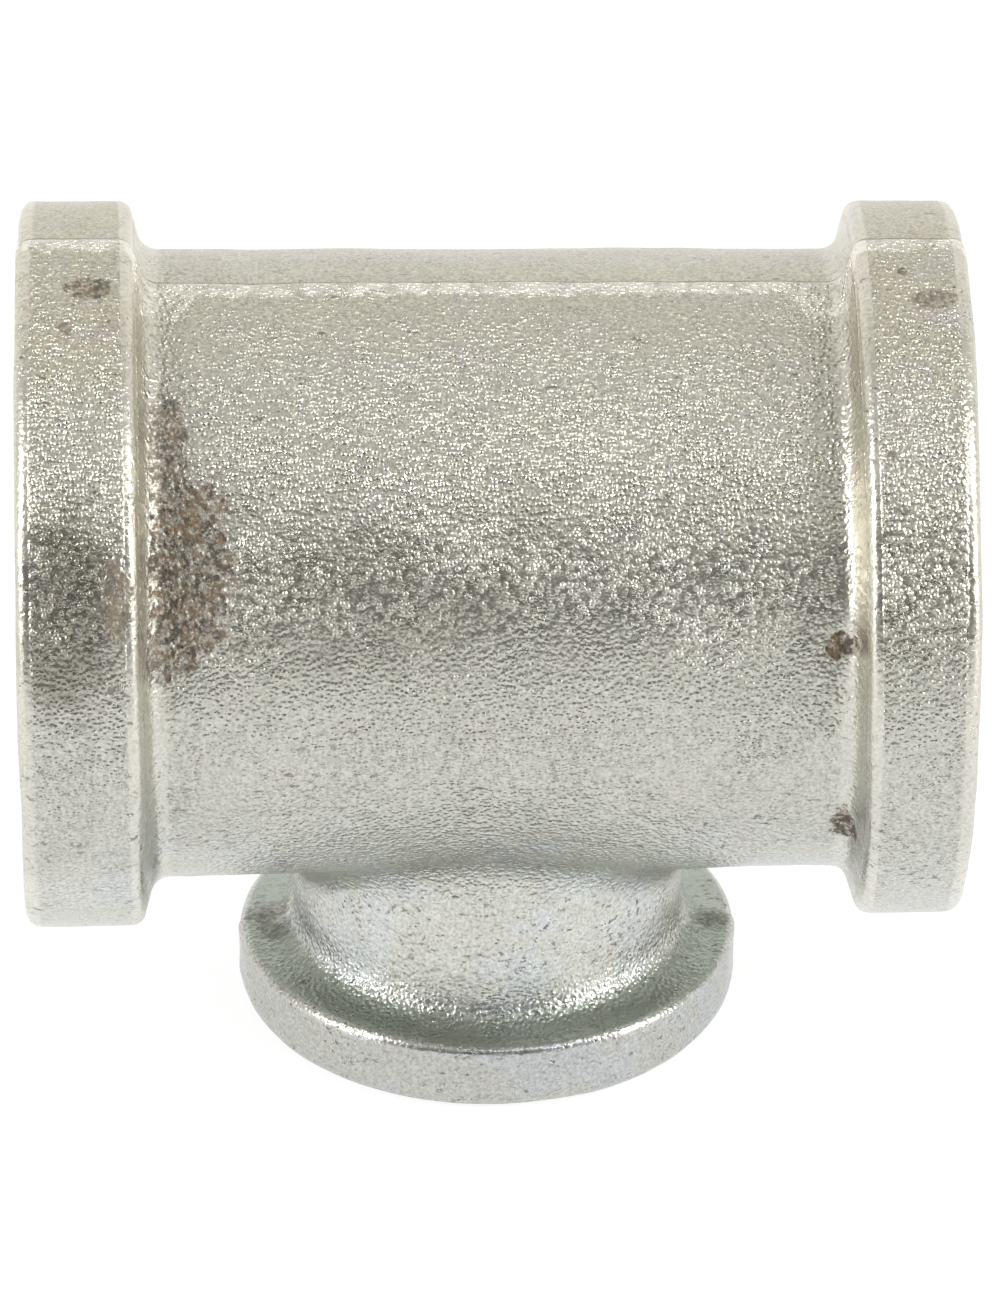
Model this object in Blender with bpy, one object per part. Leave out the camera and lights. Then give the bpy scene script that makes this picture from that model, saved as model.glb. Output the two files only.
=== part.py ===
"""Malleable-iron reducing tee, 1-1/4 x 1-1/4 x 3/4, banded, with internal taper pipe threads.

The tee is one casting. It stands on the face of its branch outlet: the origin is the centre of
that face, the branch rises along +Z, and the run crosses above it along X.
"""

import math

import bmesh
import bpy

MM = 0.001

# Run: the straight barrel with a band round each end
RUN_LENGTH = 73.6 * MM
BAND_DIAMETER = 57.0 * MM
BAND_WIDTH = 8.7 * MM
BAND_BACK_FILLET = 1.6 * MM
BAND_BACK_SLOPE = 16.0
BAND_EDGE_RADIUS = 1.0 * MM
BARREL_DIAMETER = 49.4 * MM
BARREL_BORE_DIAMETER = 41.6 * MM

# Branch: the smaller outlet, square to the run
BRANCH_REACH = 39.4 * MM
BRANCH_BAND_DIAMETER = 40.1 * MM
BRANCH_BAND_WIDTH = 6.0 * MM
BRANCH_BAND_TOP_RADIUS = 0.7 * MM
BRANCH_BAND_FACE_RADIUS = 1.8 * MM
NECK_DIAMETER = 31.2 * MM
NECK_ROOT_FILLET = 2.3 * MM
BRANCH_BORE_DIAMETER = 26.0 * MM

# Where the neck flows into the barrel: an oval on the barrel, and the fillet's drop below it
FLARE_ALONG_RUN = 19.8 * MM
FLARE_ACROSS_RUN = 17.4 * MM
FLARE_DROP = 4.0 * MM

# Taper pipe threads, sized at the mouth; radii shrink by the depth times the taper
TAPER = 1 / 32
THREAD_CHAMFER = 0.8 * MM
RUN_THREAD = {"pitch": 25.4 / 11.5 * MM, "root": 20.95 * MM, "crest": 19.25 * MM, "depth": 18.0 * MM}
BRANCH_THREAD = {"pitch": 25.4 / 14 * MM, "root": 13.26 * MM, "crest": 11.84 * MM, "depth": 13.2 * MM}

# Facets: columns round each axis, and the window in the barrel where the branch joins
SEGMENTS = 40
WINDOW_ROWS = 10
WINDOW_STATIONS = 10
OUTER_WINDOW_HALF_LENGTH = 20.5 * MM
INNER_WINDOW_HALF_LENGTH = 15.5 * MM
ARC_STEPS = 2
FLARE_STEPS = 4

CAST_ZINC_COLOUR = (0.53, 0.52, 0.46, 1.0)
CAST_ZINC_ROUGHNESS = 0.45
CAST_ZINC_METALLIC = 0.9
SMOOTH_ANGLE = math.radians(32)


def clear_scene():
    for old in list(bpy.data.objects):
        bpy.data.objects.remove(old, do_unlink=True)


def zinc_material():
    material = bpy.data.materials.new("zinc_coated_iron")
    material.use_nodes = True
    shader = material.node_tree.nodes["Principled BSDF"]
    shader.inputs["Base Color"].default_value = CAST_ZINC_COLOUR
    shader.inputs["Roughness"].default_value = CAST_ZINC_ROUGHNESS
    shader.inputs["Metallic"].default_value = CAST_ZINC_METALLIC
    return material


def run_point(along, radius, angle):
    """A point round the run's axis; angle 0 is straight down and 90 degrees is +Y."""
    return (along, radius * math.sin(angle), BRANCH_REACH - radius * math.cos(angle))


def branch_point(along, radius, angle):
    """A point round the branch's axis; angle 0 is +X and 90 degrees is +Y."""
    return (radius * math.cos(angle), radius * math.sin(angle), along)


def column_angle(column):
    return 2 * math.pi * column / SEGMENTS


def ring(mesh, place, along, radius):
    return [mesh.verts.new(place(along, radius, column_angle(column))) for column in range(SEGMENTS)]


def bridge(mesh, first, second):
    """Quads between two rings; a column with a missing vertex is left open."""
    for column in range(SEGMENTS):
        following = (column + 1) % SEGMENTS
        corners = [first[column], first[following], second[following], second[column]]
        if None not in corners:
            mesh.faces.new(corners)


def skin(mesh, rings):
    for first, second in zip(rings, rings[1:]):
        bridge(mesh, first, second)


def corner_arc(centre, radius, start, end):
    """Points (along, radius from the axis) on a rounded corner, between two directions in degrees."""
    points = []
    for step in range(ARC_STEPS + 1):
        turn = math.radians(start + (end - start) * step / ARC_STEPS)
        points.append((centre[0] + radius * math.cos(turn), centre[1] + radius * math.sin(turn)))
    return points


def band_profile():
    """The right-hand band from its end face to the barrel, as (along, radius) points.

    Its back leans off square by the slope, tangent to the rounded edge and to the fillet.
    """
    edge = BAND_EDGE_RADIUS
    fillet = BAND_BACK_FILLET
    slope = math.radians(BAND_BACK_SLOPE)
    face_corner = (RUN_LENGTH / 2 - edge, BAND_DIAMETER / 2 - edge)
    back_corner = (RUN_LENGTH / 2 - BAND_WIDTH + edge, BAND_DIAMETER / 2 - edge)
    foot_radius = BARREL_DIAMETER / 2 + fillet
    drop = back_corner[1] - foot_radius
    recede = (edge + fillet + drop * math.sin(slope)) / math.cos(slope)
    points = corner_arc(face_corner, edge, 0, 90)
    points += corner_arc(back_corner, edge, 90, 180 - BAND_BACK_SLOPE)
    points += corner_arc((back_corner[0] - recede, foot_radius), fillet, -BAND_BACK_SLOPE, -90)
    return points


def branch_profile():
    """The branch from the foot of its neck to its end face, as (along, radius) points."""
    shoulder = BRANCH_BAND_WIDTH
    neck = NECK_DIAMETER / 2
    crest = BRANCH_BAND_DIAMETER / 2
    top = BRANCH_BAND_TOP_RADIUS
    low = BRANCH_BAND_FACE_RADIUS
    points = corner_arc((shoulder + NECK_ROOT_FILLET, neck + NECK_ROOT_FILLET), NECK_ROOT_FILLET, 270, 180)
    points += corner_arc((shoulder - top, crest - top), top, 0, 90)
    points += corner_arc((low, crest - low), low, 90, 180)
    return points


def window_rim(column):
    """Where a branch column meets the window: (station, row), counted from the window's corner."""
    half_rows = WINDOW_ROWS // 2
    if column <= half_rows:
        return (WINDOW_STATIONS, half_rows + column)
    column -= half_rows
    if column <= WINDOW_STATIONS:
        return (WINDOW_STATIONS - column, WINDOW_ROWS)
    column -= WINDOW_STATIONS
    if column <= WINDOW_ROWS:
        return (0, WINDOW_ROWS - column)
    column -= WINDOW_ROWS
    if column <= WINDOW_STATIONS:
        return (column, 0)
    return (WINDOW_STATIONS, column - WINDOW_STATIONS)


def barrel_with_window(mesh, radius, half_length):
    """Barrel rings across the window, open inside it. Returns the rings and the window's rim."""
    rings = []
    half_rows = WINDOW_ROWS // 2
    for station in range(WINDOW_STATIONS + 1):
        along = half_length * (2 * station / WINDOW_STATIONS - 1)
        vertices = []
        for column in range(SEGMENTS):
            row = (column + half_rows) % SEGMENTS
            inside = 0 < station < WINDOW_STATIONS and 0 < row < WINDOW_ROWS
            point = run_point(along, radius, column_angle(column))
            vertices.append(None if inside else mesh.verts.new(point))
        rings.append(vertices)
    skin(mesh, rings)
    rim = []
    for column in range(SEGMENTS):
        station, row = window_rim(column)
        rim.append(rings[station][(row - half_rows) % SEGMENTS])
    return rings, rim


def barrel_underside(across, radius):
    return BRANCH_REACH - math.sqrt(radius ** 2 - across ** 2)


def oval_on_barrel(mesh, rim, radius, half_along, half_across, share):
    """A ring on the barrel's underside, the given share of the way from the window to the oval."""
    vertices = []
    for column in range(SEGMENTS):
        angle = column_angle(column)
        along = rim[column].co.x + share * (half_along * math.cos(angle) - rim[column].co.x)
        across = rim[column].co.y + share * (half_across * math.sin(angle) - rim[column].co.y)
        vertices.append(mesh.verts.new((along, across, barrel_underside(across, radius))))
    return vertices


def flare_rings(mesh):
    """The fillet from the barrel to the neck, one curve down each column."""
    barrel = BARREL_DIAMETER / 2
    neck = NECK_DIAMETER / 2
    rings = []
    for step in range(1, FLARE_STEPS + 1):
        share = step / FLARE_STEPS
        vertices = []
        for column in range(SEGMENTS):
            angle = column_angle(column)
            start_x = FLARE_ALONG_RUN * math.cos(angle)
            start_y = FLARE_ACROSS_RUN * math.sin(angle)
            start = (math.hypot(start_x, start_y), barrel_underside(start_y, barrel))
            slope = start_y * math.sin(angle) / (BRANCH_REACH - start[1])
            bend = (neck, start[1] - slope * (start[0] - neck))
            end = (neck, barrel_underside(neck * math.sin(angle), barrel) - FLARE_DROP)
            weights = ((1 - share) ** 2, 2 * share * (1 - share), share ** 2)
            out = sum(weight * point[0] for weight, point in zip(weights, (start, bend, end)))
            height = sum(weight * point[1] for weight, point in zip(weights, (start, bend, end)))
            vertices.append(mesh.verts.new(branch_point(height, out, math.atan2(start_y, start_x))))
        rings.append(vertices)
    return rings


def cut_thread(mesh, place, low, high, thread, mouth):
    """A right-hand V thread between two rings, one crest line and one root line to each pitch."""
    pitch = thread["pitch"]
    half_pitch = pitch / 2
    clearance = pitch / 8
    low_ring, low_along = low
    high_ring, high_along = high
    made = {}

    def vertex(row, column):
        row += 2 * (column // SEGMENTS)
        column %= SEGMENTS
        along = low_along + half_pitch * row + pitch * column / SEGMENTS
        if along < low_along + clearance:
            return low_ring[column]
        if along > high_along - clearance:
            return high_ring[column]
        if (row, column) not in made:
            size = thread["crest"] if row % 2 else thread["root"]
            radius = size - TAPER * abs(along - mouth)
            made[row, column] = mesh.verts.new(place(along, radius, column_angle(column)))
        return made[row, column]

    last_row = math.ceil((high_along - low_along) / half_pitch)
    for row in range(-2, last_row):
        for column in range(SEGMENTS):
            corners = [vertex(row, column), vertex(row, column + 1)]
            corners += [vertex(row + 1, column + 1), vertex(row + 1, column)]
            corners = list(dict.fromkeys(corners))
            if len(corners) > 2:
                mesh.faces.new(corners)


def threaded_mouth(mesh, place, mouth, inward, thread, relief):
    """Chamfer, thread and relief of one outlet. Returns the ring on its end face and the inmost ring."""
    face_ring = ring(mesh, place, mouth, thread["root"] + THREAD_CHAMFER)
    start_along = mouth + inward * THREAD_CHAMFER
    start_ring = ring(mesh, place, start_along, thread["root"])
    end_along = mouth + inward * thread["depth"]
    end_ring = ring(mesh, place, end_along, relief)
    bridge(mesh, face_ring, start_ring)
    ends = sorted([(start_along, start_ring), (end_along, end_ring)], key=lambda end: end[0])
    cut_thread(mesh, place, ends[0][::-1], ends[1][::-1], thread, mouth)
    return face_ring, end_ring


def build_outside(mesh):
    """The outer skin. Returns the outermost ring of each end face: left, right and branch."""
    right = [ring(mesh, run_point, along, radius) for along, radius in band_profile()]
    left = [ring(mesh, run_point, -along, radius) for along, radius in band_profile()]
    barrel, rim = barrel_with_window(mesh, BARREL_DIAMETER / 2, OUTER_WINDOW_HALF_LENGTH)
    skin(mesh, left)
    skin(mesh, right)
    bridge(mesh, left[-1], barrel[0])
    bridge(mesh, right[-1], barrel[-1])
    oval = oval_on_barrel(mesh, rim, BARREL_DIAMETER / 2, FLARE_ALONG_RUN, FLARE_ACROSS_RUN, 1.0)
    branch = [ring(mesh, branch_point, along, radius) for along, radius in branch_profile()]
    skin(mesh, [rim, oval] + flare_rings(mesh) + branch)
    return left[0], right[0], branch[-1]


def build_inside(mesh):
    """The threads and bores. Returns the innermost ring of each end face: left, right and branch."""
    half = RUN_LENGTH / 2
    bore = BARREL_BORE_DIAMETER / 2
    branch_bore = BRANCH_BORE_DIAMETER / 2
    left_face, left_end = threaded_mouth(mesh, run_point, -half, 1, RUN_THREAD, bore)
    right_face, right_end = threaded_mouth(mesh, run_point, half, -1, RUN_THREAD, bore)
    branch_face, branch_end = threaded_mouth(mesh, branch_point, 0.0, 1, BRANCH_THREAD, branch_bore)
    barrel, rim = barrel_with_window(mesh, bore, INNER_WINDOW_HALF_LENGTH)
    mouth = oval_on_barrel(mesh, rim, bore, branch_bore, branch_bore, 1.0)
    bridge(mesh, left_end, barrel[0])
    bridge(mesh, right_end, barrel[-1])
    skin(mesh, [rim, mouth, branch_end])
    return left_face, right_face, branch_face


def build_tee_casting():
    mesh = bmesh.new()
    for outer, inner in zip(build_outside(mesh), build_inside(mesh)):
        bridge(mesh, outer, inner)
    bmesh.ops.recalc_face_normals(mesh, faces=mesh.faces)
    data = bpy.data.meshes.new("tee_casting")
    mesh.to_mesh(data)
    mesh.free()
    data.shade_smooth()
    data.set_sharp_from_angle(angle=SMOOTH_ANGLE)
    data.materials.append(zinc_material())
    casting = bpy.data.objects.new("tee_casting", data)
    bpy.context.scene.collection.objects.link(casting)
    return casting


def main():
    clear_scene()
    build_tee_casting()


main()
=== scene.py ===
"""The looks of a zinc-coated reducing tee: a fine mesh of the casting, its finishes and a studio."""

import math

import bmesh
import bpy
import numpy as np
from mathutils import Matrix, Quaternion, Vector, noise


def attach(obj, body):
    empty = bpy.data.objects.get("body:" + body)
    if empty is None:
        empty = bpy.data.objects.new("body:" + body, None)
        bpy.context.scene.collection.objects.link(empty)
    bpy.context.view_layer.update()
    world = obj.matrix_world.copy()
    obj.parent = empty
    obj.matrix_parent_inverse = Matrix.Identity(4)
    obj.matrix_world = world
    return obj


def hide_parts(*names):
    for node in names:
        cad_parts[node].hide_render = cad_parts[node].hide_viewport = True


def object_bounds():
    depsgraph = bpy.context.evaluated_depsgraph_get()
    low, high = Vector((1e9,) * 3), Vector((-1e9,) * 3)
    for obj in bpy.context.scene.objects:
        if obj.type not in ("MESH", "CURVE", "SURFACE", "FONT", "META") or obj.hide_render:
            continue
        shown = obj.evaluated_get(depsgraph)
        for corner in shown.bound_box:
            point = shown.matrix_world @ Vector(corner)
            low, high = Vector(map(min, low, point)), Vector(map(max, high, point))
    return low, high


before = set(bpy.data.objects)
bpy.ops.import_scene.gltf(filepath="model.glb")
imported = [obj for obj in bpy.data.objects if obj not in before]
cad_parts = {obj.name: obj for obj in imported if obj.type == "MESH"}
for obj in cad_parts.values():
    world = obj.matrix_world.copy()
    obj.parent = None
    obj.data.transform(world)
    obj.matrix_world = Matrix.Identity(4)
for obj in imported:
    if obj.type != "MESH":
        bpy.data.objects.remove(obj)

MM = 0.001

cad_low, cad_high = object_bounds()
HALF_RUN = cad_high.x
BAND = cad_high.y
RUN_HEIGHT = cad_high.z - BAND

# Run, as the CAD has it, but as cast: its left end (-1) has a wider band than its right end (1) and is
# larger, and each band's width changes a little towards the top (up) and towards the front. The growth
# fades in above the branch, and BACK_MOVES says, in mm from the middle, where the bands' backs move.
BAND_WIDTHS = {-1: 8.88 * MM, 1: 8.18 * MM}
WIDTH_CHANGES = {-1: {"up": 0.0, "front": 0.57 * MM}, 1: {"up": 0.50 * MM, "front": 0.32 * MM}}
LEFT_GROWTH = 0.009
GROWTH_STARTS_ABOVE = 8.0 * MM
GROWTH_FADE = 6.0 * MM
BACK_MOVES = {"from_middle": (22.0, 25.5, 29.0, 35.5), "share": (0.0, 1.0, 1.0, 0.0)}
BAND_BACK_FILLET = 1.6 * MM
BAND_BACK_SLOPE = 16.0
BAND_EDGE_RADIUS = 1.0 * MM
BARREL = 24.7 * MM
BARREL_BORE = 20.8 * MM

# Branch
BRANCH_BAND = 20.05 * MM
BRANCH_BAND_WIDTH = 6.0 * MM
BRANCH_BAND_TOP_RADIUS = 0.7 * MM
BRANCH_BAND_FACE_RADIUS = 1.8 * MM
NECK = 15.6 * MM
NECK_ROOT_FILLET = 2.3 * MM
BRANCH_BORE = 13.0 * MM
FLARE_ALONG_RUN = 19.8 * MM
FLARE_ACROSS_RUN = 17.4 * MM
FLARE_DROP = 4.0 * MM

# Threads: radii at the mouth, shrinking with depth
TAPER = 1 / 32
CHAMFER = 0.8 * MM
RUN_THREAD = {"pitch": 25.4 / 11.5 * MM, "root": 20.95 * MM, "crest": 19.25 * MM, "depth": 18.0 * MM}
BRANCH_THREAD = {"pitch": 25.4 / 14 * MM, "root": 13.26 * MM, "crest": 11.84 * MM, "depth": 13.2 * MM}
THREAD_LINES = ((0.0, "root"), (0.13, "root"), (0.5, "crest"), (0.63, "crest"))

# Mesh: columns crowd together at the parting plane, where the casting's seam is
COLUMNS = 256
SEAM_CROWDING = 0.45
WINDOW_ROWS = 80
WINDOW_STATIONS = COLUMNS // 2 - WINDOW_ROWS
OUTER_WINDOW_HALF_LENGTH = 20.5 * MM
INNER_WINDOW_HALF_LENGTH = 15.5 * MM
ARC_STEPS = 4
FLARE_STEPS = 14
SPACING = 0.62 * MM
SHARP_ANGLE = 40.0

# The mould's two halves: the near half stands proud of the far half at the seam
SEAM_STEP = 0.16 * MM
SEAM_WIDTH = 0.35 * MM

# Finishes, as the order of the casting's materials
CAST, CUT = 0, 1

# Studio: the room's brightness beside and behind the object, and its opening in front: the height of
# the opening's middle as the z of a direction, how its outline is squashed, where its edge starts and
# ends fading, and its brightness as a share of the room's
SIDE_STRENGTH = 0.54
BACK_STRENGTH = 1.08
OPENING_HEIGHT = 0.20
OPENING_SQUASH = (0.8, 1.0, 2.1)
OPENING_EDGE = (0.66, 1.10)
OPENING_SHARE = 0.20
FLOOR_HALF = 12.0

# Softboxes: name, place, width and height, and power in watts
SOFTBOXES = (
    ("left_softbox", (-0.85, -0.35, 0.42), (0.35, 0.75), 6.0),
    ("right_softbox", (0.85, -0.35, 0.42), (0.35, 0.75), 6.6),
    ("front_top_strip", (0.30, -0.46, 0.80), (0.50, 0.15), 0.65),
)

# Camera: its direction and roll in degrees, its distance from the run's centre, its lens in mm, and
# how far to the right of that centre and below it the camera is aimed
CAMERA_ELEVATION = 29.5
CAMERA_AZIMUTH = -1.76
CAMERA_ROLL = 0.40
CAMERA_DISTANCE = 0.632
CAMERA_LENS = 220.2
AIM_RIGHT = 0.86 * MM
AIM_BELOW = 7.18 * MM


# ---------------------------------------------------------------- the casting's mesh


class Skin:
    """Points, faces and finishes of the casting while it is built up ring by ring."""

    def __init__(self):
        self.points = []
        self.outside = []
        self.faces = []
        self.finishes = []
        self.is_outside = True

    def point(self, place):
        self.points.append(place)
        self.outside.append(self.is_outside)
        return len(self.points) - 1

    def ring(self, place, along, radius):
        return [self.point(place(along, radius, angle)) for angle in COLUMN_ANGLES]

    def face(self, corners, finish):
        corners = list(dict.fromkeys(corners))
        if len(corners) > 2:
            self.faces.append(corners)
            self.finishes.append(finish)

    def bridge(self, first, second, finish=CAST):
        for column in range(COLUMNS):
            following = (column + 1) % COLUMNS
            corners = [first[column], first[following], second[following], second[column]]
            if None not in corners:
                self.face(corners, finish)

    def cover(self, rings, finish=CAST):
        for first, second in zip(rings, rings[1:]):
            self.bridge(first, second, finish)


def column_angle(column):
    even = 2 * math.pi * column / COLUMNS
    return even - SEAM_CROWDING * math.sin(2 * even) / 2


COLUMN_ANGLES = [column_angle(column) for column in range(COLUMNS)]


def run_point(along, radius, angle):
    """A point round the run's axis; angle 0 is straight down and 90 degrees is +Y."""
    return (along, radius * math.sin(angle), RUN_HEIGHT - radius * math.cos(angle))


def branch_point(along, radius, angle):
    """A point round the branch's axis; angle 0 is +X and 90 degrees is +Y."""
    return (radius * math.cos(angle), radius * math.sin(angle), along)


def corner_arc(centre, radius, start, end):
    """Points (along, radius from the axis) on a rounded corner, between two directions in degrees."""
    points = []
    for step in range(ARC_STEPS + 1):
        turn = math.radians(start + (end - start) * step / ARC_STEPS)
        points.append((centre[0] + radius * math.cos(turn), centre[1] + radius * math.sin(turn)))
    return points


def filled(points, spacing):
    """The same outline with points added so that none lie further apart than the spacing."""
    made = [points[0]]
    for first, second in zip(points, points[1:]):
        parts = max(1, math.ceil(math.dist(first, second) / spacing))
        for part in range(1, parts + 1):
            share = part / parts
            made.append(tuple(a + share * (b - a) for a, b in zip(first, second)))
    return made


def band_profile(side):
    """One band from its end face to the barrel at the window, as (along, radius) points."""
    edge = BAND_EDGE_RADIUS
    fillet = BAND_BACK_FILLET
    slope = math.radians(BAND_BACK_SLOPE)
    face_corner = (HALF_RUN - edge, BAND - edge)
    back_corner = (HALF_RUN - BAND_WIDTHS[side] + edge, BAND - edge)
    foot_radius = BARREL + fillet
    drop = back_corner[1] - foot_radius
    recede = (edge + fillet + drop * math.sin(slope)) / math.cos(slope)
    points = corner_arc(face_corner, edge, 0, 90)
    points += corner_arc(back_corner, edge, 90, 180 - BAND_BACK_SLOPE)
    points += corner_arc((back_corner[0] - recede, foot_radius), fillet, -BAND_BACK_SLOPE, -90)
    points.append((OUTER_WINDOW_HALF_LENGTH, BARREL))
    return [(side * along, radius) for along, radius in filled(points, SPACING)[:-1]]


def branch_profile():
    """The branch from the foot of its neck to its end face, as (along, radius) points."""
    shoulder = BRANCH_BAND_WIDTH
    top = BRANCH_BAND_TOP_RADIUS
    low = BRANCH_BAND_FACE_RADIUS
    foot = (shoulder + NECK_ROOT_FILLET, NECK + NECK_ROOT_FILLET)
    points = corner_arc(foot, NECK_ROOT_FILLET, 270, 180)
    points += corner_arc((shoulder - top, BRANCH_BAND - top), top, 0, 90)
    points += corner_arc((low, BRANCH_BAND - low), low, 90, 180)
    return filled(points, SPACING)


def window_rim(column):
    """Where a branch column meets the window: (station, row), counted from the window's corner."""
    half_rows = WINDOW_ROWS // 2
    if column <= half_rows:
        return (WINDOW_STATIONS, half_rows + column)
    column -= half_rows
    if column <= WINDOW_STATIONS:
        return (WINDOW_STATIONS - column, WINDOW_ROWS)
    column -= WINDOW_STATIONS
    if column <= WINDOW_ROWS:
        return (0, WINDOW_ROWS - column)
    column -= WINDOW_ROWS
    if column <= WINDOW_STATIONS:
        return (column, 0)
    return (WINDOW_STATIONS, column - WINDOW_STATIONS)


def barrel_with_window(skin, radius, half_length):
    """Barrel rings across the window, open inside it. Returns the rings and the window's rim."""
    rings = []
    half_rows = WINDOW_ROWS // 2
    for station in range(WINDOW_STATIONS + 1):
        along = half_length * (2 * station / WINDOW_STATIONS - 1)
        points = []
        for column, angle in enumerate(COLUMN_ANGLES):
            row = (column + half_rows) % COLUMNS
            inside = 0 < station < WINDOW_STATIONS and 0 < row < WINDOW_ROWS
            points.append(None if inside else skin.point(run_point(along, radius, angle)))
        rings.append(points)
    skin.cover(rings)
    rim = []
    for column in range(COLUMNS):
        station, row = window_rim(column)
        rim.append(rings[station][(row - half_rows) % COLUMNS])
    return rings, rim


def barrel_underside(across, radius):
    return RUN_HEIGHT - math.sqrt(radius ** 2 - across ** 2)


def ovals_on_barrel(skin, rim, radius, half_along, half_across, steps):
    """Rings on the barrel's underside that turn the window's outline into an oval."""
    rings = []
    for step in range(1, steps + 1):
        share = step / steps
        points = []
        for column, angle in enumerate(COLUMN_ANGLES):
            rim_x, rim_y, _ = skin.points[rim[column]]
            along = rim_x + share * (half_along * math.cos(angle) - rim_x)
            across = rim_y + share * (half_across * math.sin(angle) - rim_y)
            points.append(skin.point((along, across, barrel_underside(across, radius))))
        rings.append(points)
    return rings


def flare_rings(skin):
    """The fillet from the barrel to the neck, one curve down each column."""
    rings = []
    for step in range(1, FLARE_STEPS + 1):
        share = step / FLARE_STEPS
        weights = ((1 - share) ** 2, 2 * share * (1 - share), share ** 2)
        points = []
        for angle in COLUMN_ANGLES:
            start_x = FLARE_ALONG_RUN * math.cos(angle)
            start_y = FLARE_ACROSS_RUN * math.sin(angle)
            start = (math.hypot(start_x, start_y), barrel_underside(start_y, BARREL))
            slope = start_y * math.sin(angle) / (RUN_HEIGHT - start[1])
            bend = (NECK, start[1] - slope * (start[0] - NECK))
            end = (NECK, barrel_underside(NECK * math.sin(angle), BARREL) - FLARE_DROP)
            out = sum(weight * spot[0] for weight, spot in zip(weights, (start, bend, end)))
            height = sum(weight * spot[1] for weight, spot in zip(weights, (start, bend, end)))
            points.append(skin.point(branch_point(height, out, math.atan2(start_y, start_x))))
        rings.append(points)
    return rings


def rings_between(skin, high_ring, low_ring, steps):
    """Rings that run evenly from one ring to another, column by column."""
    rings = []
    for step in range(1, steps):
        share = step / steps
        points = []
        for high, low in zip(high_ring, low_ring):
            spot = [a + share * (b - a) for a, b in zip(skin.points[high], skin.points[low])]
            points.append(skin.point(tuple(spot)))
        rings.append(points)
    return rings


def cut_thread(skin, place, mouth, inward, thread, relief):
    """Chamfer and right-hand thread of one outlet. Returns its end-face ring and inmost ring."""
    pitch = thread["pitch"]
    clearance = pitch / 16
    deep = mouth + inward * thread["depth"]
    low, high = sorted((mouth, deep))
    face_ring = skin.ring(place, mouth, thread["root"] + CHAMFER)
    deep_ring = skin.ring(place, deep, relief)
    low_ring, high_ring = (face_ring, deep_ring) if inward > 0 else (deep_ring, face_ring)
    lines = len(THREAD_LINES)
    made = {}

    def vertex(row, column):
        row += lines * (column // COLUMNS)
        column %= COLUMNS
        turn, line = divmod(row, lines)
        share, kind = THREAD_LINES[line]
        along = low + pitch * (turn + share + column / COLUMNS)
        if along < low + clearance:
            return low_ring[column]
        if along > high - clearance:
            return high_ring[column]
        if (row, column) not in made:
            depth = abs(along - mouth)
            groove = thread[kind] - TAPER * depth
            chamfer = thread["root"] + CHAMFER - depth
            run_out = relief - (thread["depth"] - depth)
            radius = max(groove, chamfer, run_out)
            made[row, column] = skin.point(place(along, radius, COLUMN_ANGLES[column]))
        return made[row, column]

    last_row = lines * (math.ceil((high - low) / pitch) + 1)
    for row in range(-lines, last_row):
        for column in range(COLUMNS):
            corners = [vertex(row, column), vertex(row, column + 1)]
            corners += [vertex(row + 1, column + 1), vertex(row + 1, column)]
            skin.face(corners, CUT)
    return face_ring, deep_ring


def build_outside(skin):
    """The cast outside. Returns the outermost ring of each end face: left, right and branch."""
    skin.is_outside = True
    left = [skin.ring(run_point, along, radius) for along, radius in band_profile(-1)]
    right = [skin.ring(run_point, along, radius) for along, radius in band_profile(1)]
    barrel, rim = barrel_with_window(skin, BARREL, OUTER_WINDOW_HALF_LENGTH)
    skin.cover(left + [barrel[0]])
    skin.cover(right + [barrel[-1]])
    ovals = ovals_on_barrel(skin, rim, BARREL, FLARE_ALONG_RUN, FLARE_ACROSS_RUN, 4)
    flare = flare_rings(skin)
    branch = [skin.ring(branch_point, along, radius) for along, radius in branch_profile()]
    neck = rings_between(skin, flare[-1], branch[0], 8)
    skin.cover([rim] + ovals + flare + neck + branch)
    return left[0], right[0], branch[-1]


def build_inside(skin):
    """The threads and cast bores. Returns the innermost ring of each end face."""
    skin.is_outside = False
    left_face, left_end = cut_thread(skin, run_point, -HALF_RUN, 1, RUN_THREAD, BARREL_BORE)
    right_face, right_end = cut_thread(skin, run_point, HALF_RUN, -1, RUN_THREAD, BARREL_BORE)
    branch_face, branch_end = cut_thread(skin, branch_point, 0.0, 1, BRANCH_THREAD, BRANCH_BORE)
    barrel, rim = barrel_with_window(skin, BARREL_BORE, INNER_WINDOW_HALF_LENGTH)
    skin.cover([left_end] + rings_between(skin, left_end, barrel[0], 3) + [barrel[0]])
    skin.cover([right_end] + rings_between(skin, right_end, barrel[-1], 3) + [barrel[-1]])
    ovals = ovals_on_barrel(skin, rim, BARREL_BORE, BRANCH_BORE, BRANCH_BORE, 3)
    well = rings_between(skin, ovals[-1], branch_end, 5)
    skin.cover([rim] + ovals + well + [branch_end])
    return left_face, right_face, branch_face


def close_ends(skin, outer_rings, inner_rings):
    skin.is_outside = True
    for outer, inner in zip(outer_rings, inner_rings):
        skin.cover([outer] + rings_between(skin, outer, inner, 8) + [inner])


# ---------------------------------------------------------------- the casting's relief

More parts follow.
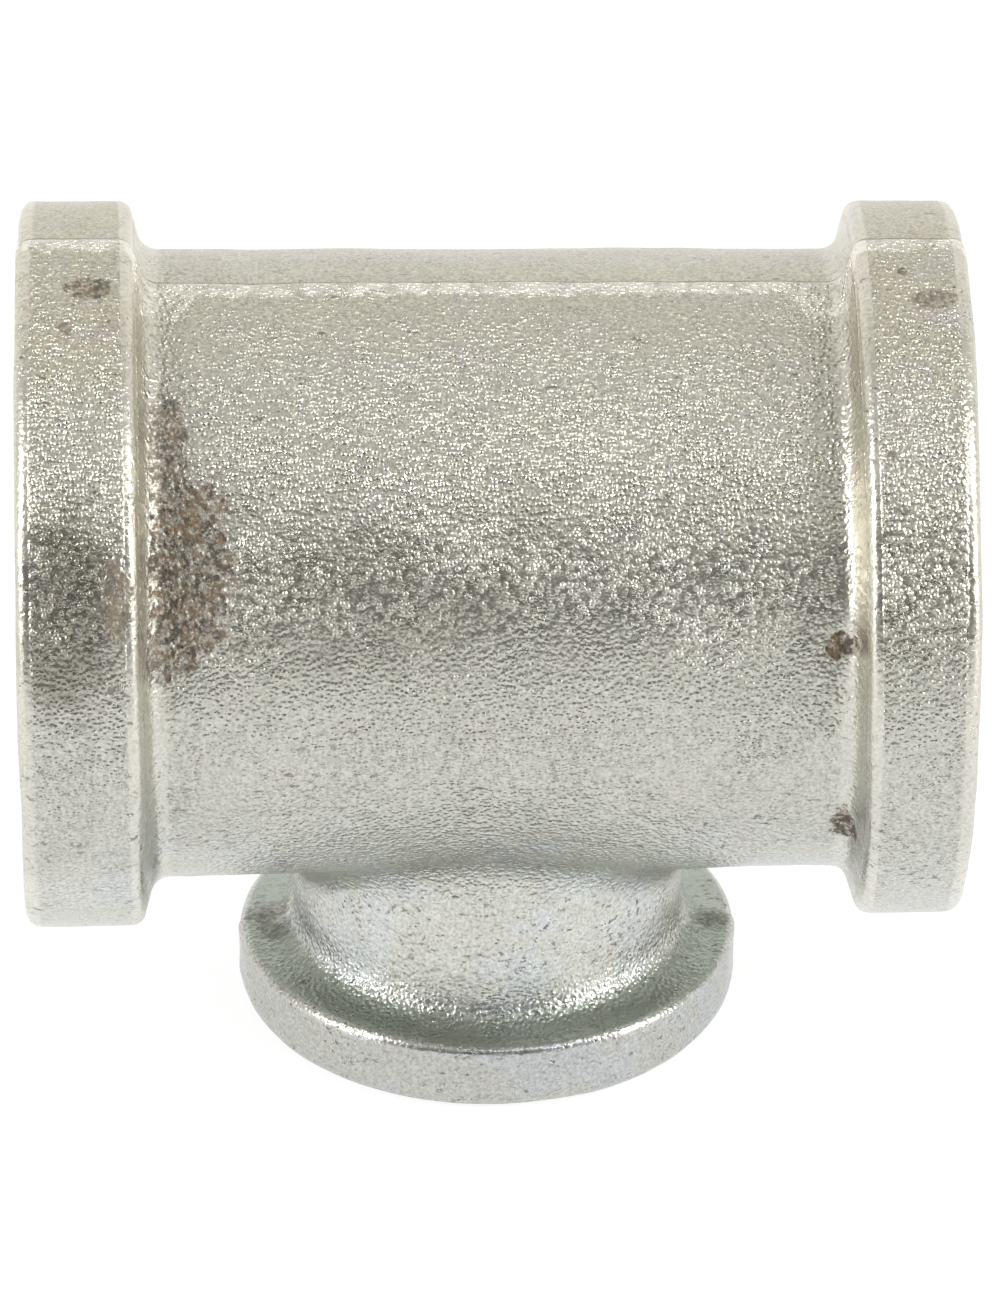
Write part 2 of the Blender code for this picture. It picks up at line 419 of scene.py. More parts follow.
# Marks on the casting: place as (mm along the run, degrees from straight down, mm from the run's axis),
# half-lengths along and round in mm, depth of the hollow in mm, and how strong its stain is
RUN_MARKS = (
    {"name": "left_fillet_stain", "at": (-23.6, -118.0, 24.9), "size": (3.4, 8.5),
     "depth": 0.10, "stain": 0.95},
    {"name": "left_fillet_stain_top", "at": (-25.3, -138.0, 24.9), "size": (1.6, 5.6),
     "depth": 0.05, "stain": 0.8},
    {"name": "left_fillet_stain_low", "at": (-26.0, -102.5, 24.9), "size": (1.6, 2.4),
     "depth": 0.15, "stain": 0.85},
    {"name": "right_fillet_spot", "at": (26.4, -103.3, 25.0), "size": (1.25, 1.25),
     "depth": 0.30, "stain": 1.3},
    {"name": "right_fillet_patch", "at": (27.0, -61.6, 25.2), "size": (1.1, 2.4),
     "depth": 0.15, "stain": 1.1},
    {"name": "left_band_pit_top", "at": (-31.1, -167.0, 28.7), "size": (1.9, 1.3),
     "depth": 0.25, "stain": 0.9},
    {"name": "left_band_pit_small", "at": (-33.0, -158.1, 28.7), "size": (0.5, 0.6),
     "depth": 0.2, "stain": 0.8},
    {"name": "left_band_bubble", "at": (-29.3, -99.7, 28.7), "size": (0.55, 0.55),
     "depth": 0.3, "stain": 0.7},
    {"name": "left_band_rust", "at": (-29.1, -114.0, 28.7), "size": (1.3, 3.4),
     "depth": 0.05, "stain": 0.75},
    {"name": "right_band_rust", "at": (33.9, -164.0, 28.3), "size": (1.6, 1.4),
     "depth": 0.10, "stain": 0.7},
    {"name": "right_band_spot", "at": (30.1, -135.2, 28.3), "size": (0.5, 0.5),
     "depth": 0.15, "stain": 0.7},
    {"name": "right_band_pit", "at": (31.7, -170.5, 28.3), "size": (0.4, 0.5),
     "depth": 0.15, "stain": 0.9},
)

# Wide places where the coat is made darker without a stain, given the same way, with how much darker
# they are
DARKER_PLACES = (
    {"name": "left_band_front", "at": (-33.0, -111.0, 28.7), "size": (4.9, 10.5), "share": 0.47},
    {"name": "barrel_left_front", "at": (-11.0, -111.0, 24.9), "size": (14.0, 6.5), "share": 0.20},
    {"name": "right_band_front", "at": (33.0, -112.0, 28.3), "size": (4.5, 7.0), "share": 0.16},
)

# Lumps of iron on the branch band's shoulder: place, size and height in mm, and their stains
SHOULDER_LUMPS = (
    {"name": "lump_left", "at": (-17.9, 0.4, 6.4), "size": 1.5, "height": 0.75},
    {"name": "lump_left_small", "at": (-17.0, -2.2, 6.2), "size": 1.2, "height": 0.45},
    {"name": "lump_right", "at": (18.2, -0.6, 6.3), "size": 1.2, "height": 0.55},
)
LUMP_STAIN = 0.42
LUMP_STAIN_REACH = 1.3

# How far from its surface, in mm, a mark still hollows the casting, stains it or darkens it
HOLLOW_REACH = 2.5
STAIN_REACH = 3
DARKER_REACH = 6


def run_mark_place(mark):
    along, degrees, radius = mark["at"]
    return run_point(along * MM, radius * MM, math.radians(degrees))


def waves(place, size):
    """Smooth noise from -1 to 1 whose lumps are about the given size."""
    return noise.noise(Vector(place) / size)


def cast_relief(place, normal):
    """How far the mould's surface stands off the nominal one at a place, outwards."""
    height = 0.13 * MM * waves(place, 13 * MM) + 0.06 * MM * waves(place, 5 * MM)
    height += 0.035 * MM * waves(place, 2.2 * MM)
    across = place[1] + 0.12 * MM * waves(place, 6 * MM)
    on_seam = 1 - abs(normal[1])
    near_half = 0.5 - 0.5 * math.tanh(across / SEAM_WIDTH * 2)
    height += SEAM_STEP * on_seam * near_half * math.exp(-abs(across) / (9 * MM))
    for lump in SHOULDER_LUMPS:
        distance = math.dist(place, [value * MM for value in lump["at"]]) / (lump["size"] * MM)
        height += lump["height"] * MM * math.exp(-distance ** 2)
    return height


def bore_relief(place):
    """How far the cored bores' surface stands off the nominal one at a place, outwards."""
    return 0.15 * MM * waves(place, 6 * MM) + 0.08 * MM * waves(place, 2.5 * MM)


def relief_heights(skin, normals, cast):
    """How far the casting's surface stands off the nominal one at every point of the skin."""
    height = np.zeros(len(skin.points))
    for index, (place, normal) in enumerate(zip(skin.points, normals)):
        if cast[index] > 0:
            if skin.outside[index]:
                height[index] = cast_relief(place, normal)
            else:
                height[index] = bore_relief(place)
    return height


def mark_hollows(places):
    """Depth of the marks' hollows at every place."""
    depth = np.zeros(len(places))
    for mark in RUN_MARKS:
        centre = np.array(run_mark_place(mark))
        angle = math.radians(mark["at"][1])
        round_way = np.array((0.0, math.cos(angle), math.sin(angle)))
        offset = places - centre
        along = offset[:, 0] / (mark["size"][0] * MM)
        around = offset @ round_way / (mark["size"][1] * MM)
        out = (offset @ np.cross(round_way, (1.0, 0.0, 0.0))) / (HOLLOW_REACH * MM)
        depth += mark["depth"] * MM * np.exp(-(along ** 2 + around ** 2 + out ** 2))
    return depth


def uneven_run(places):
    """Moves that make the run as uneven as it was cast: larger to the left, its bands' backs askew."""
    from_axis = places * (0.0, 1.0, 1.0) - (0.0, 0.0, RUN_HEIGHT)
    growth = -LEFT_GROWTH * places[:, 0] / HALF_RUN
    on_run = np.clip((places[:, 2] - GROWTH_STARTS_ABOVE) / GROWTH_FADE, 0.0, 1.0)
    moves = from_axis * (growth * on_run)[:, None]
    up = from_axis[:, 2] / BAND
    front = -from_axis[:, 1] / BAND
    stations = np.array(BACK_MOVES["from_middle"]) * MM
    at_back = np.interp(np.abs(places[:, 0]), stations, BACK_MOVES["share"])
    for side, change in WIDTH_CHANGES.items():
        wider = at_back * (change["up"] * up + change["front"] * front)
        moves[:, 0] -= side * wider * (places[:, 0] * side > 0)
    return moves


def build_casting():
    """The casting as one object: its rings first, then its relief and its unevenness as moves."""
    skin = Skin()
    outer_rings = build_outside(skin)
    inner_rings = build_inside(skin)
    close_ends(skin, outer_rings, inner_rings)
    mesh = bpy.data.meshes.new("tee_casting_skin")
    mesh.from_pydata(skin.points, [], skin.faces)
    mesh.polygons.foreach_set("material_index", skin.finishes)
    piece = bpy.data.objects.new("tee_casting_skin", mesh)
    bpy.context.scene.collection.objects.link(piece)
    turn_outwards(mesh)
    places = np.array(skin.points)
    normals = np.zeros(len(places) * 3, np.float32)
    mesh.vertex_normals.foreach_get("vector", normals)
    normals = normals.reshape(-1, 3)
    cast = cast_share(mesh, len(places))
    outside = np.array(skin.outside)
    height = relief_heights(skin, normals, cast)
    height -= mark_hollows(places) * outside
    moves = normals * (height * cast)[:, None]
    moves += uneven_run(places) * (outside * cast)[:, None]
    places += moves
    mesh.vertices.foreach_set("co", places.astype(np.float32).ravel())
    mesh.update()
    mesh.shade_smooth()
    mesh.set_sharp_from_angle(angle=math.radians(SHARP_ANGLE))
    return piece


def turn_outwards(mesh):
    """Makes every face point out of the iron."""
    work = bmesh.new()
    work.from_mesh(mesh)
    bmesh.ops.recalc_face_normals(work, faces=work.faces)
    work.to_mesh(mesh)
    work.free()


def cast_share(mesh, count):
    """1 at points that only cast faces use, 0 at points on a cut face."""
    share = np.ones(count)
    for polygon in mesh.polygons:
        if polygon.material_index == CUT:
            share[list(polygon.vertices)] = 0.0
    return share


# ---------------------------------------------------------------- materials

# Colours of the coat and of what is on it, and those that paint highlights and shade on it
WARM_ZINC = (0.580, 0.545, 0.425, 1.0)
COOL_ZINC = (0.580, 0.600, 0.590, 1.0)
ROSY_ZINC = (0.575, 0.540, 0.505, 1.0)
HIGHLIGHT_AND_WEAR_ZINC = (0.88, 0.84, 0.74, 1.0)
DARKER_ZINC = (0.105, 0.090, 0.050, 1.0)
SHADE_GREEN = (0.38, 0.415, 0.36, 1.0)
DARK_PIT_AND_SHADE = (0.085, 0.066, 0.047, 1.0)
BROWN_RUST = (0.215, 0.155, 0.095, 1.0)
CUT_ZINC_WARM = (0.50, 0.49, 0.43, 1.0)
CUT_ZINC_COOL = (0.42, 0.43, 0.41, 1.0)
PAPER_GREY = (0.22, 0.22, 0.22, 1.0)
WHITE = (1.0, 1.0, 1.0, 1.0)

ZINC_METALLIC = 0.95
CRUST_METALLIC = 0.30
CRUST_ROUGHNESS = 0.55
PAPER_ROUGHNESS = 0.9

# Depth of the relief that the materials add
CAST_BUMP = 0.135 * MM
TOOL_LINE_BUMP = 0.02 * MM
PAPER_BUMP = 0.01 * MM


class Graph:
    """Short calls for building a material's nodes. Sizes are in metres on the object."""

    def __init__(self, name):
        self.material = bpy.data.materials.new(name)
        self.material.use_nodes = True
        self.tree = self.material.node_tree
        self.shader = self.tree.nodes["Principled BSDF"]
        self.place = self.tree.nodes.new("ShaderNodeTexCoord").outputs["Object"]

    def plug(self, value, socket):
        """Links a socket, or sets a plain value."""
        if isinstance(value, bpy.types.NodeSocket):
            self.tree.links.new(value, socket)
        else:
            socket.default_value = value

    def add(self, kind, **settings):
        node = self.tree.nodes.new("ShaderNode" + kind)
        for name, value in settings.items():
            setattr(node, name, value)
        return node

    def math(self, operation, first, second=0.0, third=0.0):
        node = self.add("Math", operation=operation)
        for value, socket in zip((first, second, third), node.inputs):
            self.plug(value, socket)
        return node.outputs[0]

    def times(self, first, second):
        return self.math("MULTIPLY", first, second)

    def larger(self, first, second):
        return self.math("MAXIMUM", first, second)

    def hypotenuse(self, first, second):
        squares = self.math("MULTIPLY_ADD", first, first, self.times(second, second))
        return self.math("SQRT", squares)

    def place_parts(self):
        """X, Y and Z of the place: along the run, across it (the front is negative) and height."""
        node = self.add("SeparateXYZ")
        self.plug(self.place, node.inputs[0])
        return node.outputs

    def stretched(self, factors):
        node = self.add("VectorMath", operation="MULTIPLY")
        self.plug(self.place, node.inputs[0])
        node.inputs[1].default_value = factors
        return node.outputs[0]

    def noise(self, size, detail=2.0, roughness=0.5, distortion=0.0, place=None):
        node = self.add("TexNoise")
        self.plug(place or self.place, node.inputs["Vector"])
        node.inputs["Scale"].default_value = 1 / size
        node.inputs["Detail"].default_value = detail
        node.inputs["Roughness"].default_value = roughness
        node.inputs["Distortion"].default_value = distortion
        return node.outputs["Fac"]

    def cells(self, size):
        """Distance from the middle of the nearest cell."""
        node = self.add("TexVoronoi")
        self.plug(self.place, node.inputs["Vector"])
        node.inputs["Scale"].default_value = 1 / size
        return node.outputs["Distance"]

    def fade(self, value, low, high, start=0.0, end=1.0):
        """Smoothly from start to end as the value goes from low to high."""
        node = self.add("MapRange", interpolation_type="SMOOTHSTEP")
        for given, socket in zip((value, low, high, start, end), node.inputs):
            self.plug(given, socket)
        return node.outputs[0]

    def mix(self, share, first, second):
        """Two colours mixed; a Mix node's colours are its inputs 6 and 7 and its output 2."""
        node = self.add("Mix", data_type="RGBA")
        self.plug(share, node.inputs[0])
        self.plug(first, node.inputs[6])
        self.plug(second, node.inputs[7])
        return node.outputs[2]

    def blend(self, share, first, second):
        """Two numbers mixed; a Mix node's numbers are its inputs 2 and 3 and its output 0."""
        node = self.add("Mix", data_type="FLOAT")
        self.plug(share, node.inputs[0])
        self.plug(first, node.inputs[2])
        self.plug(second, node.inputs[3])
        return node.outputs[0]

    def scaled(self, colour, factor):
        node = self.add("VectorMath", operation="SCALE")
        self.plug(colour, node.inputs[0])
        self.plug(factor, node.inputs["Scale"])
        return node.outputs[0]

    def bump(self, height, distance):
        node = self.add("Bump")
        node.inputs["Strength"].default_value = 1.0
        node.inputs["Distance"].default_value = distance
        self.plug(height, node.inputs["Height"])
        self.plug(node.outputs[0], self.shader.inputs["Normal"])

    def finish(self, colour, roughness, metallic):
        self.plug(colour, self.shader.inputs["Base Color"])
        self.plug(roughness, self.shader.inputs["Roughness"])
        self.plug(metallic, self.shader.inputs["Metallic"])
        return self.material


def mark_share(graph, centre, half_sizes, turn, ragged, full=0.80):
    """1 inside one mark with a ragged edge, 0 outside it; full says how far out it stays at 1.

    The mark is an ellipsoid, turned round the run so that its first two sides lie along the surface."""
    offset = graph.add("VectorMath", operation="SUBTRACT")
    graph.plug(graph.place, offset.inputs[0])
    offset.inputs[1].default_value = centre
    turned = graph.add("VectorRotate", rotation_type="X_AXIS")
    graph.plug(offset.outputs[0], turned.inputs["Vector"])
    turned.inputs["Angle"].default_value = turn
    scaled = graph.add("VectorMath", operation="DIVIDE")
    graph.plug(turned.outputs[0], scaled.inputs[0])
    scaled.inputs[1].default_value = half_sizes
    length = graph.add("VectorMath", operation="LENGTH")
    graph.plug(scaled.outputs[0], length.inputs[0])
    edge = graph.math("ADD", length.outputs["Value"], ragged)
    return graph.fade(edge, 1.06, full)


def all_marks(graph):
    """How stained each place is, from every mark on the run and the branch's lumps."""
    ragged = graph.math("MULTIPLY_ADD", graph.noise(1.1 * MM, 4.0, 0.65), 1.6, -0.8)
    total = 0.0
    for mark in RUN_MARKS:
        half = (mark["size"][0] * MM, mark["size"][1] * MM, STAIN_REACH * MM)
        share = mark_share(graph, run_mark_place(mark), half, -math.radians(mark["at"][1]), ragged)
        total = graph.larger(total, graph.times(share, mark["stain"]))
    for lump in SHOULDER_LUMPS:
        centre = [value * MM for value in lump["at"]]
        half = (LUMP_STAIN_REACH * lump["size"] * MM,) * 3
        share = mark_share(graph, centre, half, 0.0, ragged)
        total = graph.larger(total, graph.times(share, LUMP_STAIN))
    return total


def darkening(graph):
    """How much darker the coat is at each place, by the wide darker places."""
    ragged = graph.math("MULTIPLY_ADD", graph.noise(4.0 * MM, 3.0, 0.6), 1.4, -0.7)
    total = 0.0
    for place in DARKER_PLACES:
        half = (place["size"][0] * MM, place["size"][1] * MM, DARKER_REACH * MM)
        turn = -math.radians(place["at"][1])
        share = mark_share(graph, run_mark_place(place), half, turn, ragged, full=0.45)
        total = graph.larger(total, graph.times(share, place["share"]))
    return total


def flecks(graph, height):
    """Small dark pits and short streaks along the run, in drifts, most of them low on the casting."""
    drawn_out = graph.stretched((0.55, 1.0, 1.0))
    fine = graph.fade(graph.noise(0.42 * MM, 3.0, 0.70, place=drawn_out), 0.585, 0.665)
    coarse = graph.fade(graph.noise(0.95 * MM, 3.0, 0.65, place=drawn_out), 0.665, 0.715)
    drifts = graph.fade(graph.noise(4.5 * MM, 3.0, 0.6), 0.40, 0.66, 0.25, 1.0)
    lower = graph.fade(height, 26 * MM, 46 * MM, 1.0, 0.55)
    share = graph.times(graph.times(fine, drifts), lower)
    return graph.larger(share, graph.times(coarse, 0.8))


def seam_shares(graph, along, across, height):
    """Shares of two lines along the mould's seam: a lip on the near half, which gets a painted
    highlight, and behind it a crease, which gets painted shade. The lip spreads where it meets the
    bands' fillets."""
    wobble = graph.math("MULTIPLY_ADD", graph.noise(3 * MM, 2.0), 0.7 * MM, -0.35 * MM)
    behind = graph.math("ADD", across, wobble)
    upper = graph.fade(height, 24 * MM, 34 * MM)
    ragged = graph.math("MULTIPLY_ADD", graph.noise(0.8 * MM, 3.0, 0.6), 2.4 * MM, -1.2 * MM)
    from_middle = graph.math("ABSOLUTE", along)
    spread = graph.times(graph.fade(from_middle, 22.5 * MM, 25.0 * MM, 0.0, 3.4 * MM),
                        graph.fade(from_middle, 28.4 * MM, 27.4 * MM))
    reach = graph.math("ADD", graph.math("ADD", behind, ragged), spread)
    rising = graph.fade(reach, -2.2 * MM, -1.5 * MM)
    broken = graph.fade(graph.noise(2.5 * MM, 3.0, 0.6), 0.36, 0.54, 0.30, 1.0)
    lip = graph.times(rising, graph.fade(behind, 0.05 * MM, -0.05 * MM))
    lip = graph.times(lip, broken)
    crease_distance = graph.math("ABSOLUTE", graph.math("SUBTRACT", behind, 0.14 * MM))
    crease = graph.fade(crease_distance, 0.16 * MM, 0.03 * MM)
    return graph.times(lip, upper), graph.times(crease, upper)


def band_back(graph, side, front, up):
    """How far from the middle one band's back lies, as uneven_run moves it."""
    change = WIDTH_CHANGES[side]
    back = graph.math("MULTIPLY_ADD", front, -change["front"], HALF_RUN - BAND_WIDTHS[side])
    return graph.math("MULTIPLY_ADD", up, -change["up"], back)


def smooth_edges(graph, along, across, height):
    """1 on the rounded edges of the run's bands, where the grain is worn, and less in their fillets,
    where the zinc fills it. The same share also paints a highlight on these edges in the coat's colour."""
    from_middle = graph.math("ABSOLUTE", along)
    on_right = graph.fade(along, -5 * MM, 5 * MM)
    on_left = graph.fade(on_right, 0.0, 1.0, 1.0, 0.0)
    above = graph.math("SUBTRACT", height, RUN_HEIGHT)
    radius = graph.hypotenuse(above, across)
    front = graph.times(across, -1 / BAND)
    up = graph.times(above, 1 / BAND)
    left_back = graph.times(band_back(graph, -1, front, up), on_left)
    back = graph.math("MULTIPLY_ADD", band_back(graph, 1, front, up), on_right, left_back)
    from_back = graph.math("SUBTRACT", from_middle, back)
    from_edge = graph.math("ABSOLUTE", graph.math("SUBTRACT", from_back, 0.45 * MM))
    outside = graph.fade(radius, 26.9 * MM, 27.5 * MM)
    inner = graph.times(graph.fade(from_edge, 0.75 * MM, 0.45 * MM), outside)
    rim = graph.fade(radius, 26.5 * MM, 27.2 * MM)
    outer = graph.times(graph.fade(from_middle, 35.4 * MM, 35.9 * MM), rim)
    inside = graph.fade(radius, 27.3 * MM, 26.8 * MM)
    fillet = graph.times(graph.fade(from_back, -2.6 * MM, -1.6 * MM), inside)
    edges = graph.larger(inner, outer)
    edges = graph.larger(edges, graph.times(fillet, 0.70))
    uneven_wear = graph.fade(graph.noise(1.2 * MM, 2.0), 0.30, 0.50, 0.6, 1.0)
    return graph.times(edges, uneven_wear)


def shoulder_painted_shade(graph, along, across, height):
    """1 on the ring of the branch band that faces up, under the neck, where a dark greenish painted
    shade goes.
    """
    radius = graph.hypotenuse(along, across)
    ragged = graph.math("MULTIPLY_ADD", graph.noise(1.0 * MM, 3.0, 0.6), 1.2 * MM, -0.6 * MM)
    below_neck = graph.fade(graph.math("ADD", height, ragged), 7.3 * MM, 6.5 * MM)
    above_band = graph.fade(height, 5.7 * MM, 5.9 * MM)
    inside_rim = graph.fade(radius, 19.7 * MM, 19.4 * MM)
    return graph.times(graph.times(below_neck, above_band), inside_rim)


def grain_coarseness(graph, across, height, branch_share, lip, edges):
    """How strongly the sand grain stands out at each place.

    It is weaker on the branch, behind the seam and on the worn edges. It is stronger in patches, far
    round the back, near the top, at the neck's foot and on the seam's lip."""
    behind_seam = graph.fade(across, -0.5 * MM, 0.5 * MM, 1.0, 0.6)
    far_back = graph.fade(across, 5 * MM, 13 * MM, 1.0, 1.7)
    patches = graph.fade(graph.noise(9 * MM, 3.0), 0.35, 0.65, 0.75, 1.1)
    near_top = graph.fade(height, 54 * MM, 62 * MM, 1.0, 1.9)
    neck_foot = graph.times(graph.fade(height, 10 * MM, 8 * MM), graph.fade(height, 5.8 * MM, 6.2 * MM))
    back_share = graph.times(behind_seam, far_back)
    coarseness = graph.times(graph.times(branch_share, back_share), patches)
    coarseness = graph.times(coarseness, near_top)
    coarseness = graph.math("MULTIPLY_ADD", neck_foot, 0.35, coarseness)
    coarseness = graph.math("MULTIPLY_ADD", lip, 1.3, coarseness)
    return graph.times(coarseness, graph.fade(edges, 0.0, 1.0, 1.0, 0.15))


def coat_and_underlight(graph, height):
    """The coat's colour: warm grey with cooler and rosier clouds, and a fine speckle.

    It is cooler on the branch, darker below the branch band's shoulder, and painted a little lighter low
    on the casting, as light that the floor reflects onto its underside."""
    cool_share = graph.fade(graph.noise(7 * MM, 4.0, 0.6, 0.4), 0.36, 0.60)
    cool_share = graph.times(cool_share, graph.fade(height, 22 * MM, 40 * MM, 1.0, 0.15))
    least_cool = graph.fade(height, 22 * MM, 58 * MM, 0.70, 0.32)
    least_cool = graph.times(least_cool, graph.fade(height, 67 * MM, 61 * MM))
    cool_share = graph.larger(cool_share, least_cool)
    rosy_share = graph.fade(graph.noise(4 * MM, 3.0, 0.6), 0.5, 0.75, 0.0, 0.6)
    speckle = graph.noise(0.26 * MM, 2.0, 0.6)
    colour = graph.mix(cool_share, WARM_ZINC, COOL_ZINC)
    colour = graph.mix(rosy_share, colour, ROSY_ZINC)
    colour = graph.scaled(colour, graph.fade(speckle, 0.3, 0.7, 0.80, 1.12))
    # Painted light: below about 23 mm up the colour is up to 12% lighter, standing in for floor light
    # reflected onto the underside
    colour = graph.scaled(colour, graph.fade(height, 23 * MM, 29 * MM, 1.12, 1.0))
    return graph.scaled(colour, graph.fade(height, 5 * MM, 7 * MM, 0.80, 1.0))


def cast_zinc():
    """Zinc over sand-cast iron: sparkling grain, small dark pits, cloudy tint and brown stains."""
    graph = Graph("cast_zinc")
    along, across, height = graph.place_parts()
    dark_flecks = flecks(graph, height)
    lip, crease = seam_shares(graph, along, across, height)
    marks = all_marks(graph)
    edges = smooth_edges(graph, along, across, height)
    shoulder_shade = shoulder_painted_shade(graph, along, across, height)
    branch_share = graph.fade(height, 13 * MM, 22 * MM, 0.30, 1.0)
    coarseness = grain_coarseness(graph, across, height, branch_share, lip, edges)

    colour = graph.mix(darkening(graph), coat_and_underlight(graph, height), DARKER_ZINC)
    # Painted highlight: the seam's lip, and more weakly the bands' rounded edges, are mixed towards a
    # near-white zinc as if their edges caught the light; on the edges this is partly their wear
    highlight_and_wear = graph.larger(graph.times(lip, 0.9), graph.times(edges, 0.30))
    colour = graph.mix(highlight_and_wear, colour, HIGHLIGHT_AND_WEAR_ZINC)
    # Painted shade: the up-facing ring under the neck is mixed towards a dark green-grey, standing in
    # for the shade there
    colour = graph.mix(graph.times(shoulder_shade, 0.85), colour, SHADE_GREEN)
    # Painted shade: the crease behind the seam's lip is mixed into the same dark as the pits, as shade
    # in its recess
    crease_shade = graph.times(crease, 0.55)
    darkened = graph.larger(graph.times(dark_flecks, 0.75), crease_shade)
    colour = graph.mix(darkened, colour, DARK_PIT_AND_SHADE)
    rust = graph.mix(graph.fade(graph.noise(0.9 * MM, 3.0), 0.42, 0.6), DARK_PIT_AND_SHADE, BROWN_RUST)
    crust = graph.noise(0.55 * MM, 4.0, 0.75)
    crusted = graph.times(marks, graph.fade(crust, 0.45, 0.58, 1.0, 0.28))
    colour = graph.mix(crusted, colour, rust)

    domes = graph.fade(graph.cells(0.40 * MM), 0.0, 0.75, 1.0, 0.0)
    sand = graph.noise(0.36 * MM, 2.0, 0.6)
    lumps = graph.noise(1.5 * MM, 3.0, 0.55)
    relief = graph.math("MULTIPLY_ADD", sand, 0.85, graph.times(domes, 0.75))
    relief = graph.times(relief, coarseness)
    relief = graph.math("MULTIPLY_ADD", lumps, graph.times(branch_share, 0.8), relief)
    relief = graph.math("SUBTRACT", relief, graph.times(dark_flecks, 0.45))
    relief = graph.math("SUBTRACT", relief, graph.times(crease, 0.6))
    relief = graph.math("MULTIPLY_ADD", crust, graph.times(marks, 0.8), relief)
    graph.bump(relief, CAST_BUMP)

    roughness = graph.fade(graph.noise(2.5 * MM, 3.0), 0.3, 0.7, 0.25, 0.34)
    roughness = graph.blend(crusted, roughness, CRUST_ROUGHNESS)
    metallic = graph.blend(crusted, ZINC_METALLIC, CRUST_METALLIC)
    return graph.finish(colour, roughness, metallic)


def cut_zinc():
    """The threads and chamfers: cut iron with a bright, smoother coat and fine tool lines."""
    graph = Graph("cut_zinc")
    lines = graph.noise(0.5 * MM, 2.0)
    cloud = graph.fade(graph.noise(5 * MM, 3.0), 0.35, 0.65)
    colour = graph.mix(cloud, CUT_ZINC_WARM, CUT_ZINC_COOL)
    graph.bump(lines, TOOL_LINE_BUMP)
    roughness = graph.fade(graph.noise(1.5 * MM, 3.0), 0.3, 0.7, 0.24, 0.40)
    return graph.finish(colour, roughness, ZINC_METALLIC)


def floor_paper():
    """The studio floor's paper, which glows a little less towards the front."""
    graph = Graph("floor_paper")
    graph.bump(graph.noise(0.8 * MM, 2.0), PAPER_BUMP)
    graph.shader.inputs["Emission Color"].default_value = WHITE
    across = graph.place_parts()["Y"]
    glow = graph.fade(across, -0.50, -0.08, 0.45, 0.84)
    graph.plug(glow, graph.shader.inputs["Emission Strength"])
    return graph.finish(PAPER_GREY, PAPER_ROUGHNESS, 0.0)


# ---------------------------------------------------------------- studio


def aim(thing, target):
    thing.rotation_mode = "QUATERNION"
    thing.rotation_quaternion = (Vector(target) - thing.location).to_track_quat("-Z", "Y")


def build_floor():
    half = FLOOR_HALF
    corners = [(-half, -half, 0), (half, -half, 0), (half, half, 0), (-half, half, 0)]
    mesh = bpy.data.meshes.new("floor")
    mesh.from_pydata(corners, [], [(0, 1, 2, 3)])
    floor = bpy.data.objects.new("floor", mesh)
    bpy.context.scene.collection.objects.link(floor)
    mesh.materials.append(floor_paper())


def build_softbox(name, place, size, power):
    """A rectangular lamp aimed at the run's centre."""
    light = bpy.data.lights.new(name, "AREA")
    light.shape = "RECTANGLE"
    light.size, light.size_y = size
    light.energy = power
    lamp = bpy.data.objects.new(name, light)
    lamp.location = place
    bpy.context.scene.collection.objects.link(lamp)
    aim(lamp, (0.0, 0.0, RUN_HEIGHT))


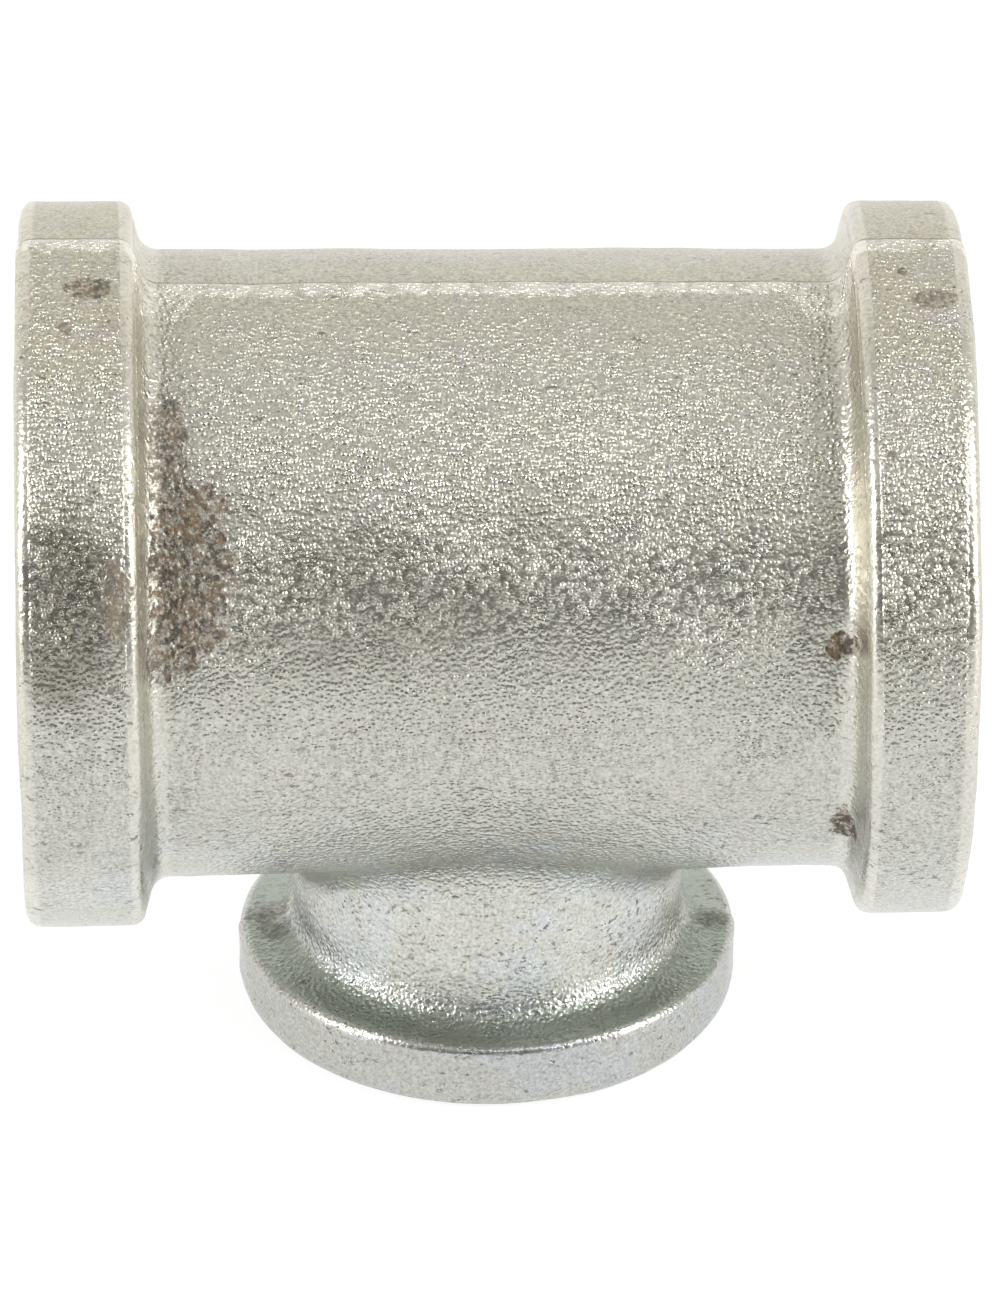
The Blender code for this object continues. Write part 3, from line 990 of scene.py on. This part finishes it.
def build_world():
    """A pale room: white behind the object, greyer above and beside it, dark at its opening in front."""
    world = bpy.data.worlds.new("studio")
    world.use_nodes = True
    nodes, links = world.node_tree.nodes, world.node_tree.links
    direction = nodes.new("ShaderNodeTexCoord").outputs["Generated"]
    parts = nodes.new("ShaderNodeSeparateXYZ")
    links.new(direction, parts.inputs[0])

    def fade(value, low, high, start, end):
        node = nodes.new("ShaderNodeMapRange")
        node.interpolation_type = "SMOOTHSTEP"
        links.new(value, node.inputs["Value"])
        node.inputs["From Min"].default_value = low
        node.inputs["From Max"].default_value = high
        node.inputs["To Min"].default_value = start
        node.inputs["To Max"].default_value = end
        return node.outputs["Result"]

    def vector(operation, first, second):
        node = nodes.new("ShaderNodeVectorMath")
        node.operation = operation
        links.new(first, node.inputs[0])
        node.inputs[1].default_value = second
        return node.outputs["Vector"]

    from_opening = vector("SUBTRACT", direction, (0.0, -1.0, OPENING_HEIGHT))
    stretched = vector("MULTIPLY", from_opening, OPENING_SQUASH)
    length = nodes.new("ShaderNodeVectorMath")
    length.operation = "LENGTH"
    links.new(stretched, length.inputs[0])
    closed = fade(length.outputs["Value"], *OPENING_EDGE, OPENING_SHARE, 1.0)
    room = fade(parts.outputs["Y"], 0.0, 0.7, SIDE_STRENGTH, BACK_STRENGTH)
    strength = nodes.new("ShaderNodeMath")
    strength.operation = "MULTIPLY"
    links.new(closed, strength.inputs[0])
    links.new(room, strength.inputs[1])
    links.new(strength.outputs[0], nodes["Background"].inputs["Strength"])
    nodes["Background"].inputs["Color"].default_value = WHITE
    bpy.context.scene.world = world


def build_camera():
    """The camera looks down at the run from the front, a little from the left, with a long lens."""
    elevation = math.radians(CAMERA_ELEVATION)
    azimuth = math.radians(CAMERA_AZIMUTH)
    back = Vector((
        math.sin(azimuth) * math.cos(elevation),
        -math.cos(azimuth) * math.cos(elevation),
        math.sin(elevation),
    ))
    run_centre = Vector((0.0, 0.0, RUN_HEIGHT))
    camera = bpy.data.objects.new("camera", bpy.data.cameras.new("camera"))
    camera.location = run_centre + back * CAMERA_DISTANCE
    camera.data.lens = CAMERA_LENS
    camera.data.sensor_width = 36.0
    camera.data.clip_start = 0.05
    camera.data.clip_end = 60.0
    across = Vector((math.cos(azimuth), math.sin(azimuth), 0.0))
    upward = back.cross(across)
    aim(camera, run_centre + AIM_RIGHT * across - AIM_BELOW * upward)
    camera.rotation_quaternion @= Quaternion((0.0, 0.0, 1.0), math.radians(CAMERA_ROLL))
    bpy.context.scene.collection.objects.link(camera)
    bpy.context.scene.camera = camera


def main():
    casting = build_casting()
    casting.data.materials.append(cast_zinc())
    casting.data.materials.append(cut_zinc())
    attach(casting, "root")
    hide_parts("tee_casting")
    build_floor()
    build_world()
    for name, place, size, power in SOFTBOXES:
        build_softbox(name, place, size, power)
    build_camera()
    bpy.context.scene.view_settings.view_transform = "Standard"


main()
